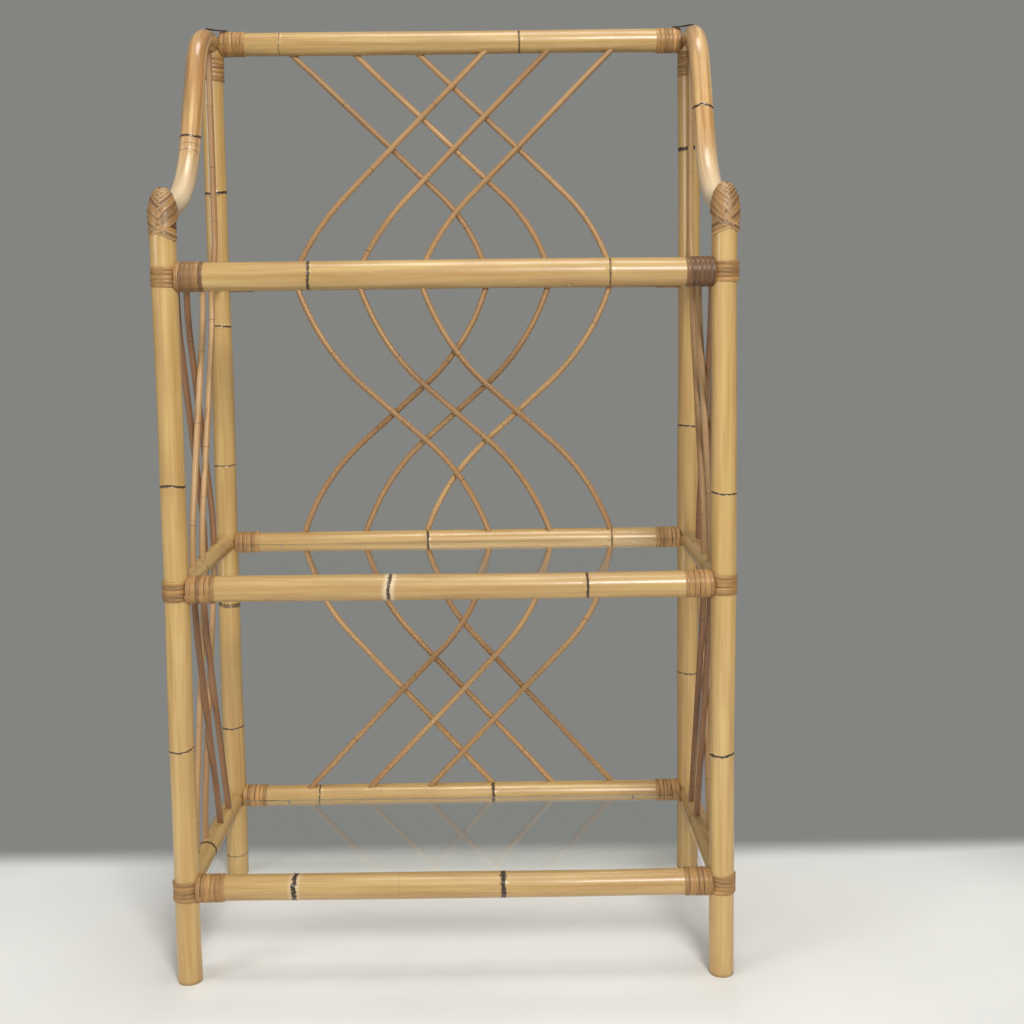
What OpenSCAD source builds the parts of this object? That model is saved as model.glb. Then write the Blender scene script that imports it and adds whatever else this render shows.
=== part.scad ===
/* [Frame] */
// Distance between the left and right post axes
span_x = 650; // [600:1:700]
// Distance between the front and rear post axes
span_y = 285; // [270:1:320]
// Height of the lowest rail axes above the floor
first_rail_z = 116; // [90:1:150]
// Rise from one shelf level to the next
tier_pitch = 369; // [340:1:400]
// Rise from the upper shelf rails to the top rail
back_rise = 318; // [305:1:350]

/* [Poles] */
// Diameter of the four posts
post_d = 30; // [29:0.5:33]
// Diameter of the rails that run from side to side
cross_rail_d = 31; // [29:0.5:32]
// Diameter of the upper front rail, the thickest one
upper_front_rail_d = 33; // [29:0.5:34]
// Diameter of the short rails that run from front to back
side_rail_d = 26; // [22:0.5:27]

/* [Scroll arms] */
// Diameter of the arms
arm_d = 28; // [24:0.5:28]
// Rise from the upper shelf rails to the arm root
arm_root_rise = 81; // [70:1:95]
// Radius of the lower bend
arm_low_bend = 140; // [110:1:140]
// Radius of the upper bend
arm_high_bend = 70; // [50:1:75]
// Lean of the straight stretch, in degrees back from upright
arm_lean = 24; // [18:1:26]

/* [Lattice] */
// Diameter of the thin rods
rod_d = 8; // [6:0.5:8.5]
// Spacing of the back rods where they meet a rail
back_rod_pitch = 86; // [78:1:92]
// Spacing of the side rods where they meet a rail
side_rod_pitch = 50; // [45:1:54]

/* [Glass shelves] */
// Thickness of each glass sheet
glass_t = 5; // [4:0.5:8]
// Gap between the glass and the side rails
glass_side_gap = 4; // [3:0.5:8]
// Distance from the front and rear rail axes to the glass edge
glass_edge_inset = 19; // [19:0.5:22]

/* [Bindings and fixings] */
// Thickness of the cane strips wound round the rails
binding_t = 1.5; // [1:0.1:1.6]
// Thickness of the bands and caps on the posts, where strips cross
band_t = 2.4; // [1.8:0.1:2.6]
// Height of the band wound round a post at each rail
band_h = 24; // [16:1:26]
// Length of the winding on the end of a cross rail
winding_len = 32; // [20:1:40]
// Diameter of the headless nails in the joints
nail_d = 3.2; // [2.5:0.1:4]
// Diameter of the pins that carry the glass
pin_d = 3; // [2.5:0.1:3.5]

/* [Hidden] */
$fn = 64;

SIDES = [-1, 1];
TIERS = [0, 1, 2];
TIER_NAMES = ["lower", "middle", "upper"];
PANEL_NAMES = ["lower", "middle", "top"];

pole_color = [0.86, 0.72, 0.46];
arm_color = [0.85, 0.68, 0.42];
rod_color = [0.72, 0.50, 0.27];
dark_rod_color = [0.58, 0.37, 0.20];
binding_color = [0.68, 0.50, 0.33];
lashing_color = [0.30, 0.19, 0.13];
glass_color = [0.72, 0.86, 0.80, 0.35];
steel_color = [0.55, 0.55, 0.56];

post_r = post_d / 2;
side_rail_r = side_rail_d / 2;
arm_r = arm_d / 2;
front_y = -span_y / 2;
rear_y = span_y / 2;
top_rail_z = first_rail_z + 2 * tier_pitch + back_rise;

// A rail's end stops this far from the axis of the post or arm that it is fitted to
fishmouth_stop = 7;

// The arm: root on the front post, the two bend centres and the rear end, in the YZ plane
arm_root = [front_y + post_r, first_rail_z + 2 * tier_pitch + arm_root_rise];
arm_low_centre = arm_root + [0, arm_low_bend];
arm_low_end = arm_low_centre + arm_low_bend * [cos(arm_lean), -sin(arm_lean)];
arm_high_start_z = top_rail_z - arm_high_bend * (1 - sin(arm_lean));
arm_straight = (arm_high_start_z - arm_low_end[1]) / cos(arm_lean);
arm_high_start = arm_low_end + arm_straight * [sin(arm_lean), cos(arm_lean)];
arm_high_centre = arm_high_start + arm_high_bend * [cos(arm_lean), -sin(arm_lean)];
arm_high_end = arm_high_centre + [0, arm_high_bend];
arm_end_y = rear_y + post_r;

// A knot's length in rod diameters, how far it stands out, and the gap that it fills
knot_length = 0.4;
knot_rise = 0.3;
joint_gap = 0.5;

// Front post top: straight up to here, then a dome that the cap binding covers
dome_z = arm_root[1] + 5;
cap_h = 45;
cap_edge_rise = 8;

// Rods: crossing layers lie either side of the plane of the rails
rod_r = rod_d / 2;
layer_offset = rod_r + 0.2;
rod_stub = 9;
back_rods = 3;
back_shift = back_rods * back_rod_pitch;
side_shift = 2 * side_rod_pitch;
top_rod_bend = 100;
top_rod_turn = 30;

// Ends of a back rod for each panel: bend radius and lean at the top, then at the bottom.
// A radius of 0 leaves that end straight. First the rods that fall to the left, then the others.
BACK_BENDS_TO_LEFT = [[250, 8, 0, 0], [310, 18, 300, 19], [0, 0, 340, 25]];
BACK_BENDS_TO_RIGHT = [[265, 13, 0, 0], [310, 18, 300, 19], [0, 0, 240, 18]];
// The same for the side rods of the two lower tiers, for the rods that fall towards the rear
// and for those that fall towards the front
SIDE_BENDS_TO_REAR = [[260, 0, 0, 0], [200, 0, 200, 0]];
SIDE_BENDS_TO_FRONT = [[0, 0, 260, 0], [200, 0, 200, 0]];

glass_x = span_x - side_rail_d - 2 * glass_side_gap;
glass_y = span_y - 2 * glass_edge_inset;
glass_drop = 3;
pin_gap = 0.2;
pin_x = 245;
pin_start = 8;
pin_len = 20;
pin_drop = glass_drop + pin_gap + pin_d / 2;

winding_start = post_r + band_t + 0.2;
post_winding_h = 34;
post_winding_drop = 50;

nail_len = 55;
nail_recess = 1;
nail_shift = 5;

lashing_w = 7;
lashing_t = 1.3;
lashing_from = [span_x / 2 - 1, rear_y - 30, top_rail_z + arm_r + 0.6];
lashing_to = [span_x / 2 - 22, rear_y - 2, top_rail_z + cross_rail_d / 2 + binding_t + 0.2];

function side_name(side) = side < 0 ? "left" : "right";
function rail_z(tier) = first_rail_z + tier * tier_pitch;
function front_rail_d(tier) = tier == 2 ? upper_front_rail_d : cross_rail_d;
function back_rod_name(panel, fall, i) =
    str(PANEL_NAMES[panel], "_back_rod_to_", side_name(fall), "_", i + 1);
function side_rods_name(tier, side, to_rear) =
    str(TIER_NAMES[tier], "_side_rods_", side_name(side), to_rear ? "_to_rear" : "_to_front");

NODES = concat(
    [for (side = SIDES) str("front_post_", side_name(side))],
    [for (side = SIDES) str("rear_post_", side_name(side))],
    [for (side = SIDES) str("scroll_arm_", side_name(side))],
    ["top_rail"],
    [for (tier = TIERS) str(TIER_NAMES[tier], "_front_rail")],
    [for (tier = TIERS) str(TIER_NAMES[tier], "_rear_rail")],
    [for (tier = TIERS, side = SIDES) str(TIER_NAMES[tier], "_side_rail_", side_name(side))],
    [for (tier = TIERS) str(TIER_NAMES[tier], "_glass")],
    [for (panel = TIERS, fall = SIDES, i = [0:back_rods - 1]) back_rod_name(panel, fall, i)],
    [for (tier = [0, 1], side = SIDES, to_rear = [true, false]) side_rods_name(tier, side, to_rear)],
    [for (side = SIDES) str("top_side_rod_", side_name(side))],
    [for (side = SIDES) str("cap_binding_", side_name(side))],
    [for (tier = TIERS) str(TIER_NAMES[tier], "_front_bindings")],
    ["rear_bindings", "top_bindings", "corner_lashings", "glass_pins", "joint_nails"]
);
node = "all";

// Straight round bar from one point to another
module bar(from, to, d) {
    run = to - from;
    length = norm(run);
    translate(from) rotate([0, acos(run[2] / length), atan2(run[1], run[0])]) cylinder(h = length, d = d);
}

// Part of a ring of round bar in the XZ plane, from one angle round to another, short of both
// ends by the joint gap, which a knot fills
module ring_part(centre, bend, from_angle, sweep, d) {
    short = joint_gap / bend * 180 / PI;
    translate([centre[0], 0, centre[1]]) rotate([90, 0, 0]) rotate([0, 0, from_angle + short])
        rotate_extrude(angle = sweep - 2 * short) translate([bend, 0]) circle(d = d);
}

// Straight bar in the XZ plane, short of both ends by the joint gap
module flat_bar(from, to, d) {
    short = joint_gap * (to - from) / norm(to - from);
    bar([from[0] + short[0], 0, from[1] + short[1]], [to[0] - short[0], 0, to[1] - short[1]], d);
}

// Raised growth ring of the cane, which joins a bend to a straight. It leans from upright.
module knot(at, lean, d) {
    translate([at[0], 0, at[1]]) rotate([0, -lean, 0])
        cylinder(h = d * knot_length, d = d + 2 * knot_rise, center = true);
}

// Rod in the XZ plane that falls towards +X: a bend at the top, a straight slope and a bend at
// the bottom. Each end runs on into its rail by the stub.
module bent_rod(top, bottom, bends) {
    top_bend = bends[0];
    low_bend = bends[2];
    top_centre = top + top_bend * [cos(bends[1]), sin(bends[1])];
    low_centre = bottom - low_bend * [cos(bends[3]), sin(bends[3])];
    run = low_centre - top_centre;
    lean = atan2(run[0], -run[1]) + asin((top_bend + low_bend) / norm(run));
    out = [cos(lean), sin(lean)];
    along = [sin(lean), -cos(lean)];
    slope_top = top_centre - top_bend * out;
    slope_low = low_centre + low_bend * out;
    flat_bar(slope_top - (top_bend > 0 ? 0 : rod_stub) * along,
             slope_low + (low_bend > 0 ? 0 : rod_stub) * along, rod_d);
    if (top_bend > 0) {
        stub_turn = rod_stub / top_bend * 180 / PI;
        ring_part(top_centre, top_bend, 180 + bends[1] - stub_turn, lean - bends[1] + stub_turn, rod_d);
        knot(slope_top, lean, rod_d);
    }
    if (low_bend > 0) {
        stub_turn = rod_stub / low_bend * 180 / PI;
        ring_part(low_centre, low_bend, bends[3] - stub_turn, lean - bends[3] + stub_turn, rod_d);
        knot(slope_low, lean, rod_d);
    }
}

// Turns the XZ plane into the YZ plane of one side
module on_side(side) {
    translate([side * span_x / 2, 0, 0]) rotate([0, 0, 90]) children();
}

// Bars without holes or shaped ends, used to fit one pole to another

module post_bar(side, y) {
    translate([side * span_x / 2, y, -1]) cylinder(h = top_rail_z, d = post_d);
}

module cross_bar(y, z, d) {
    half = span_x / 2 - fishmouth_stop;
    bar([-half, y, z], [half, y, z], d);
}

module front_bar(tier) {
    cross_bar(front_y, rail_z(tier), front_rail_d(tier));
}

module rear_bar(tier) {
    cross_bar(rear_y, rail_z(tier), cross_rail_d);
}

module side_bar(side, tier) {
    bar([side * span_x / 2, front_y + fishmouth_stop, rail_z(tier)],
        [side * span_x / 2, rear_y - fishmouth_stop, rail_z(tier)], side_rail_d);
}

// Front post with its domed top
module front_post_bar(side, extra = 0) {
    translate([side * span_x / 2, front_y, 0]) {
        cylinder(h = dome_z, r = post_r + extra);
        translate([0, 0, dome_z]) sphere(r = post_r + extra);
    }
}

// Arm: bends and straights in one upright plane
module arm_bar(side) {
    root_turn = (post_r - fishmouth_stop) / arm_low_bend * 180 / PI;
    on_side(side) {
        ring_part(arm_low_centre, arm_low_bend, -90 - root_turn, 90 - arm_lean + root_turn, arm_d);
        knot(arm_low_end, -arm_lean, arm_d);
        flat_bar(arm_low_end, arm_high_start, arm_d);
        knot(arm_high_start, -arm_lean, arm_d);
        ring_part(arm_high_centre, arm_high_bend, 90, 90 - arm_lean, arm_d);
        knot(arm_high_end, 90, arm_d);
        flat_bar(arm_high_end, [arm_end_y, top_rail_z], arm_d);
    }
}

// Thin rod in front of a rear post: down from the arm, then forwards onto the upper side rail
module top_rod_bar(side) {
    rod_y = rear_y - post_r - layer_offset;
    turn_z = rail_z(2) + side_rail_r + top_rod_bend * sin(top_rod_turn);
    stub_turn = rod_stub / top_rod_bend * 180 / PI;
    on_side(side) {
        flat_bar([rod_y, turn_z], [rod_y, top_rail_z - arm_r + rod_stub], rod_d);
        knot([rod_y, turn_z], 0, rod_d);
        ring_part([rod_y - top_rod_bend, turn_z], top_rod_bend, -top_rod_turn - stub_turn,
                  top_rod_turn + stub_turn, rod_d);
    }
}

// Nails: each starts just inside the far side of one pole and runs on into the next. The
// nails of crossing rails pass one above the other.

module nail(at, turn) {
    translate(at) rotate(turn) translate([0, 0, nail_recess - post_r]) cylinder(h = nail_len, d = nail_d);
}

module cross_nail(side, y, z) {
    nail([side * span_x / 2, y, z + nail_shift], [0, -side * 90, 0]);
}

module side_nail(side, front, z) {
    nail([side * span_x / 2, front ? front_y : rear_y, z - nail_shift], [front ? -90 : 90, 0, 0]);
}

module arm_root_nail(side) {
    nail([side * span_x / 2, front_y, arm_root[1]], [-90, 0, 0]);
}

module arm_top_nail(side) {
    nail([side * span_x / 2, rear_y - nail_shift, top_rail_z], [180, 0, 0]);
}

module top_rail_nail(side) {
    nail([side * span_x / 2, rear_y + nail_shift, top_rail_z], [0, -side * 90, 0]);
}

module all_nails() {
    for (side = SIDES) {
        for (tier = TIERS) {
            for (y = [front_y, rear_y]) cross_nail(side, y, rail_z(tier));
            for (front = [true, false]) side_nail(side, front, rail_z(tier));
        }
        arm_root_nail(side);
        arm_top_nail(side);
        top_rail_nail(side);
    }
}

// Pins that carry one glass sheet, two in the front rail and two in the rear rail
module tier_pins(tier) {
    for (side = SIDES, end = SIDES)
        bar([side * pin_x, end * (rear_y - pin_start), rail_z(tier) - pin_drop],
            [side * pin_x, end * (rear_y - pin_start - pin_len), rail_z(tier) - pin_drop], pin_d);
}

// Poles

module front_post(side) {
    color(pole_color) difference() {
        front_post_bar(side);
        all_nails();
    }
}

module rear_post(side) {
    color(pole_color) difference() {
        translate([side * span_x / 2, rear_y, 0]) cylinder(h = top_rail_z - nail_shift, r = post_r);
        arm_bar(side);
        all_nails();
    }
}

module scroll_arm(side) {
    color(arm_color) difference() {
        arm_bar(side);
        front_post_bar(side);
        all_nails();
    }
}

module top_rail() {
    color(pole_color) difference() {
        cross_bar(rear_y, top_rail_z, cross_rail_d);
        for (side = SIDES) {
            arm_bar(side);
            post_bar(side, rear_y);
        }
        all_nails();
    }
}

module front_rail(tier) {
    color(pole_color) difference() {
        front_bar(tier);
        for (side = SIDES) post_bar(side, front_y);
        all_nails();
        tier_pins(tier);
    }
}

module rear_rail(tier) {
    color(pole_color) difference() {
        rear_bar(tier);
        for (side = SIDES) post_bar(side, rear_y);
        all_nails();
        tier_pins(tier);
    }
}

module side_rail(tier, side) {
    color(pole_color) difference() {
        side_bar(side, tier);
        for (y = [front_y, rear_y]) post_bar(side, y);
        front_bar(tier);
        rear_bar(tier);
        all_nails();
    }
}

module glass(tier) {
    color(glass_color) translate([-glass_x / 2, -glass_y / 2, rail_z(tier) - glass_drop])
        cube([glass_x, glass_y, glass_t]);
}

// Lattice

// One back rod. Those that fall to the left lie in front in the lower and top panels, and
// behind in the middle one.
module back_rod(panel, fall, i) {
    low_z = rail_z(panel) + cross_rail_d / 2;
    high_z = (panel == 2 ? top_rail_z : rail_z(panel + 1)) - cross_rail_d / 2;
    start_x = (i - (back_rods - 1)) * back_rod_pitch - back_rod_pitch / 2;
    layer = (panel == 1 ? 1 : -1) * -fall * layer_offset;
    bends = fall < 0 ? BACK_BENDS_TO_LEFT : BACK_BENDS_TO_RIGHT;
    color(rod_color) difference() {
        translate([0, rear_y + layer, 0]) mirror([fall < 0 ? 1 : 0, 0, 0])
            bent_rod([start_x, high_z], [start_x + back_shift, low_z], bends[panel]);
        rear_bar(panel);
        if (panel == 2) cross_bar(rear_y, top_rail_z, cross_rail_d);
        else rear_bar(panel + 1);
    }
}

// The two side rods of one tier that fall the same way
module side_rods(tier, side, to_rear) {
    low_z = rail_z(tier) + side_rail_r;
    high_z = rail_z(tier + 1) - side_rail_r;
    inner = (tier == 0) == to_rear;
    start_y = -1.5 * side_rod_pitch;
    color(to_rear ? dark_rod_color : rod_color) difference() {
        translate([side * (inner ? -1 : 1) * layer_offset, 0, 0]) on_side(side)
            mirror([to_rear ? 0 : 1, 0, 0]) for (i = [0, 1])
                bent_rod([start_y + i * side_rod_pitch, high_z],
                         [start_y + i * side_rod_pitch + side_shift, low_z],
                         to_rear ? SIDE_BENDS_TO_REAR[tier] : SIDE_BENDS_TO_FRONT[tier]);
        side_bar(side, tier);
        side_bar(side, tier + 1);
    }
}

module top_side_rod(side) {
    color(rod_color) difference() {
        top_rod_bar(side);
        arm_bar(side);
        side_bar(side, 2);
    }
}

// Bindings

// Band round a post where the rails meet it, open towards the shelf
module post_band(side, y, z) {
    corner = 2 * post_d;
    translate([side * span_x / 2, y, z]) difference() {
        translate([0, 0, -band_h / 2]) cylinder(h = band_h, r = post_r + band_t);
        mirror([side > 0 ? 1 : 0, 0, 0]) mirror([0, y > 0 ? 1 : 0, 0])
            translate([0, 0, -corner / 2]) cube([corner, corner, corner]);
    }
}

// Winding round the end of a cross rail
module rail_winding(side, y, z, d) {
    from = span_x / 2 - winding_start;
    difference() {
        bar([side * from, y, z], [side * (from - winding_len), y, z], d + 2 * binding_t);
        cross_bar(y, z, d);
    }
}

module cap_binding(side) {
    x = side * span_x / 2;
    edge_z = dome_z - cap_h;
    color(binding_color) difference() {
        front_post_bar(side, band_t);
        front_post_bar(side);
        arm_bar(side);
        translate([x - post_d, front_y - post_d, -1]) cube([2 * post_d, 2 * post_d, edge_z + 1]);
        translate([x, front_y + post_d, edge_z - 0.01]) rotate([90, 0, 0]) linear_extrude(2 * post_d)
            polygon([[-post_d, 0], [post_d, 0], [0, 2 * cap_edge_rise]]);
    }
}

module front_bindings(tier) {
    color(binding_color) for (side = SIDES) {
        difference() {
            post_band(side, front_y, rail_z(tier));
            front_post_bar(side);
            front_bar(tier);
            side_bar(side, tier);
        }
        rail_winding(side, front_y, rail_z(tier), front_rail_d(tier));
    }
}

module rear_bindings() {
    color(binding_color) for (tier = TIERS, side = SIDES) {
        difference() {
            post_band(side, rear_y, rail_z(tier));
            post_bar(side, rear_y);
            rear_bar(tier);
            side_bar(side, tier);
        }
        rail_winding(side, rear_y, rail_z(tier), cross_rail_d);
    }
}

// Windings on the ends of the top rail and on the tops of the rear posts
module top_bindings() {
    color(binding_color) for (side = SIDES) {
        rail_winding(side, rear_y, top_rail_z, cross_rail_d);
        difference() {
            translate([side * span_x / 2, rear_y, top_rail_z - post_winding_drop])
                cylinder(h = post_winding_h, r = post_r + binding_t);
            post_bar(side, rear_y);
            top_rod_bar(side);
        }
    }
}

// Dark strap from the crown of each arm across to the top rail
module corner_lashings() {
    run = lashing_to - lashing_from;
    color(lashing_color) for (side = SIDES) mirror([side < 0 ? 1 : 0, 0, 0])
        translate(lashing_from) rotate([0, -asin(run[2] / norm(run)), atan2(run[1], run[0])])
            translate([0, -lashing_w / 2, 0]) cube([norm(run), lashing_w, lashing_t]);
}

// Fixings

module glass_pins() {
    color(steel_color) for (tier = TIERS) tier_pins(tier);
}

module joint_nails() {
    color(steel_color) all_nails();
}

function shown(name) = node == "all" || node == name;

for (side = SIDES) {
    if (shown(str("front_post_", side_name(side)))) front_post(side);
    if (shown(str("rear_post_", side_name(side)))) rear_post(side);
    if (shown(str("scroll_arm_", side_name(side)))) scroll_arm(side);
    if (shown(str("top_side_rod_", side_name(side)))) top_side_rod(side);
    if (shown(str("cap_binding_", side_name(side)))) cap_binding(side);
}
if (shown("top_rail")) top_rail();
for (tier = TIERS) {
    if (shown(str(TIER_NAMES[tier], "_front_rail"))) front_rail(tier);
    if (shown(str(TIER_NAMES[tier], "_rear_rail"))) rear_rail(tier);
    if (shown(str(TIER_NAMES[tier], "_glass"))) glass(tier);
    if (shown(str(TIER_NAMES[tier], "_front_bindings"))) front_bindings(tier);
}
for (tier = TIERS, side = SIDES)
    if (shown(str(TIER_NAMES[tier], "_side_rail_", side_name(side)))) side_rail(tier, side);
for (panel = TIERS, fall = SIDES, i = [0:back_rods - 1])
    if (shown(back_rod_name(panel, fall, i))) back_rod(panel, fall, i);
for (tier = [0, 1], side = SIDES, to_rear = [true, false])
    if (shown(side_rods_name(tier, side, to_rear))) side_rods(tier, side, to_rear);
if (shown("rear_bindings")) rear_bindings();
if (shown("top_bindings")) top_bindings();
if (shown("corner_lashings")) corner_lashings();
if (shown("glass_pins")) glass_pins();
if (shown("joint_nails")) joint_nails();
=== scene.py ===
import math
import random

import bmesh
import bpy
import numpy as np
from mathutils import Matrix, Vector


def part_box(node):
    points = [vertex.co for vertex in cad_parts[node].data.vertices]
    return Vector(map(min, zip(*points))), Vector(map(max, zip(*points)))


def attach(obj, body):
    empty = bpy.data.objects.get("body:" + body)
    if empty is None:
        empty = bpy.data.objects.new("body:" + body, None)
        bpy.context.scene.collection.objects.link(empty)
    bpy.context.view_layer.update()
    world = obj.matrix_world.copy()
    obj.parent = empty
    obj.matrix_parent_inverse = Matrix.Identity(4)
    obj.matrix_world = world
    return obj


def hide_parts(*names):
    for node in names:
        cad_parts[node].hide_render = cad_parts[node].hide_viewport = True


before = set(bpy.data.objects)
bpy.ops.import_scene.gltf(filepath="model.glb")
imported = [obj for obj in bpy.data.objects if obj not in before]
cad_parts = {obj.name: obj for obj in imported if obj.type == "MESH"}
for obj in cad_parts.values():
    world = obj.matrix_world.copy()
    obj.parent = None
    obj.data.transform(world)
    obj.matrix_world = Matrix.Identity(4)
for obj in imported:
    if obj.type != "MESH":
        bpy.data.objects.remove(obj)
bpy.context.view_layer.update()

SIDES = {"left": -1, "right": 1}
TIERS = ("lower", "middle", "upper")
MM = 0.001
UP = np.array([0.0, 0.0, 1.0])
ACROSS = np.array([1.0, 0.0, 0.0])
BACK = np.array([0.0, 1.0, 0.0])


# ---- Places and sizes, from the CAD frame ----

def middle(node):
    low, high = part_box(node)
    return (np.array(low) + np.array(high)) / 2


def size(node):
    low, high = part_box(node)
    return np.array(high) - np.array(low)


POST_R = size("rear_post_left")[0] / 2
FRONT_Y = middle("front_post_left")[1]
REAR_Y = middle("rear_post_left")[1]
SIDE_X = middle("front_post_right")[0]
RAIL_Z = {tier: middle(tier + "_rear_rail")[2] for tier in TIERS}
# From an arm's axis at its crown to the top of its CAD pole
ARM_RISE = 14.3 * MM
TOP_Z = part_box("scroll_arm_left")[1][2] - ARM_RISE
CROSS_R = size("lower_rear_rail")[2] / 2
UPPER_FRONT_R = size("upper_front_rail")[2] / 2
SIDE_RAIL_R = size("lower_side_rail_left")[2] / 2
ARM_R = 14 * MM
ARM_WAIST = 13.2 * MM
ROD_R = 4 * MM
# Half the distance between the two layers of a lattice
LAYER = 4.2 * MM
# Height of the pointed part of a cap
CAP_POINT = 33 * MM
CAP_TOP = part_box("cap_binding_left")[1][2]
CAP_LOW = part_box("cap_binding_left")[0][2]
ARM_END_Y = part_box("scroll_arm_left")[1][1]

# The arm's bends, as in the CAD model
ARM_LOW_BEND = 140 * MM
ARM_HIGH_BEND = 70 * MM
ARM_LEAN = math.radians(24)
ARM_ROOT_Z = RAIL_Z["upper"] + 81 * MM

# The lattice: spacing, and (bend radius, lean in degrees) at the top and bottom of each rod
BACK_PITCH = 86 * MM
SIDE_PITCH = 50 * MM
BACK_BENDS = {
    ("lower", "left"): ((250, 8), (0, 0)),
    ("lower", "right"): ((265, 13), (0, 0)),
    ("middle", "left"): ((310, 18), (300, 19)),
    ("middle", "right"): ((310, 18), (300, 19)),
    ("top", "left"): ((0, 0), (340, 25)),
    ("top", "right"): ((0, 0), (240, 18)),
}
SIDE_BENDS = {
    ("lower", "rear"): ((260, 0), (0, 0)),
    ("lower", "front"): ((0, 0), (260, 0)),
    ("middle", "rear"): ((200, 0), (200, 0)),
    ("middle", "front"): ((200, 0), (200, 0)),
}
# How far a rod runs into a rail
ROD_STUB = 9 * MM

# The windings: how far from the post's axis a long rail and its winding start
RAIL_GAP = 13 * MM
WINDING_START = 12.5 * MM
WINDING_LEN = 34 * MM
WINDING_TURNS = 6
WINDING_THICK = 1.3 * MM
# The strips round a post: their number, their height together and how far round they reach
BAND_TURNS = 5
BAND_HEIGHT = 24 * MM
BAND_REACH = 2.42
# The strips of a cap: how many climb to each hand, how many of them cross low down, and their size
CAP_STRIPS = 9
CAP_LOW_STRIPS = 2
CAP_STRIP_WIDTH = 6.9 * MM
CAP_STRIP_THICK = 1.25 * MM
# How far round a cap its strips run past the front centre line, in radians
CAP_STRIP_END = 2.7
# Rise from one strip of a cap to the next, in mm
CAP_PITCH = 6.1
# How much a cap's core keeps inside its strips at the top
CAP_INSET = 1.8 * MM


# ---- Materials ----

def add(tree, kind, values=None, **settings):
    """A new shader node. A value that is a socket is linked, any other is set."""
    node = tree.nodes.new("ShaderNode" + kind)
    for key, value in settings.items():
        setattr(node, key, value)
    for key, value in (values or {}).items():
        if isinstance(value, bpy.types.NodeSocket):
            tree.links.new(value, node.inputs[key])
        else:
            node.inputs[key].default_value = value
    return node


def solid(colour):
    """A colour of three parts with its alpha. A socket stays as it is."""
    return colour if isinstance(colour, bpy.types.NodeSocket) else (*colour, 1)


def mix(tree, factor, a, b, blend="MIX"):
    """Colour a turning into colour b."""
    values = {0: factor, 6: solid(a), 7: solid(b)}
    return add(tree, "Mix", values, data_type="RGBA", blend_type=blend).outputs[2]


def new_material(name):
    """A material with an empty tree and its Principled shader."""
    material = bpy.data.materials.new(name)
    material.use_nodes = True
    tree = material.node_tree
    tree.nodes.clear()
    shader = add(tree, "BsdfPrincipled")
    output = add(tree, "OutputMaterial")
    tree.links.new(shader.outputs[0], output.inputs[0])
    return material, tree, shader


def attribute(tree, name, output="Fac"):
    return add(tree, "Attribute", attribute_name=name).outputs[output]


def noise(tree, where, scale, stretch, detail=3.0, low=0.35, high=0.65):
    """Noise of a scale in features per metre across the cane, stretched along it, spread to 0 to 1."""
    mapped = add(tree, "Mapping", {"Vector": where, "Scale": (1, 1, 1 / stretch)})
    grain = add(tree, "TexNoise", {"Vector": mapped.outputs[0], "Scale": scale, "Detail": detail})
    spread = add(tree, "MapRange", {"Value": grain.outputs[0], "From Min": low, "From Max": high})
    return spread.outputs[0]


def times(tree, a, b):
    return add(tree, "Math", {0: a, 1: b}, operation="MULTIPLY").outputs[0]


def plus(tree, a, b):
    return add(tree, "Math", {0: a, 1: b}, operation="ADD").outputs[0]


def ring_mark(tree, where):
    """How dark a growth ring is here. The ring attribute holds its distance, half width and darkness."""
    ring = add(tree, "SeparateXYZ", {"Vector": attribute(tree, "ring", "Vector")}).outputs
    ragged = add(tree, "TexNoise", {"Vector": where, "Scale": 330, "Detail": 4}).outputs[0]
    shift = times(tree, plus(tree, ragged, -0.5), times(tree, ring[1], 3.2))
    away = add(tree, "Math", {0: plus(tree, ring[0], shift)}, operation="ABSOLUTE").outputs[0]
    share = add(tree, "Math", {0: away, 1: ring[1]}, operation="DIVIDE").outputs[0]
    fade = add(tree, "MapRange", {"Value": share, "From Min": 1.15, "From Max": 0.75}).outputs[0]
    return times(tree, fade, ring[2])


BLEACHED = (0.68, 0.53, 0.34)
SCORCHED = (0.024, 0.010, 0.004)


def cane_material(name, pale, honey, brown, gloss=0.36, coat=0.45, shine=0.12, grain=1.0, stain=0.42):
    """Lacquered peeled cane: long streaks, soft clouds, fine fibres, and dark growth rings."""
    material, tree, shader = new_material(name)
    where = attribute(tree, "cane", "Vector")
    streaks = noise(tree, where, 150, 30)
    clouds = noise(tree, where, 38, 5, 4.0, 0.42, 0.78)
    threads = noise(tree, where, 420 * grain, 60, 2.0, 0.55, 0.75)
    fibres = noise(tree, where, 1300 * grain, 60, 2.0, 0.2, 0.8)
    colour = mix(tree, streaks, pale, honey)
    colour = mix(tree, times(tree, clouds, stain), colour, brown)
    colour = mix(tree, times(tree, threads, stain), colour, brown)
    colour = mix(tree, times(tree, fibres, 0.16), colour, honey, "MULTIPLY")
    colour = mix(tree, attribute(tree, "tone"), colour, brown)
    colour = mix(tree, attribute(tree, "bleach"), colour, BLEACHED)
    colour = mix(tree, ring_mark(tree, where), colour, SCORCHED)
    tree.links.new(colour, shader.inputs["Base Color"])
    rough = plus(tree, times(tree, clouds, 0.14), gloss)
    rough = plus(tree, times(tree, attribute(tree, "bleach"), 0.20), rough)
    tree.links.new(rough, shader.inputs["Roughness"])
    height = plus(tree, times(tree, fibres, 0.35), times(tree, streaks, 0.6))
    bump = add(tree, "Bump", {"Height": height, "Strength": 0.14 * grain, "Distance": 0.4 * MM})
    tree.links.new(bump.outputs[0], shader.inputs["Normal"])
    shader.inputs["Coat Weight"].default_value = coat
    shader.inputs["Coat Roughness"].default_value = shine
    return material


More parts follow.
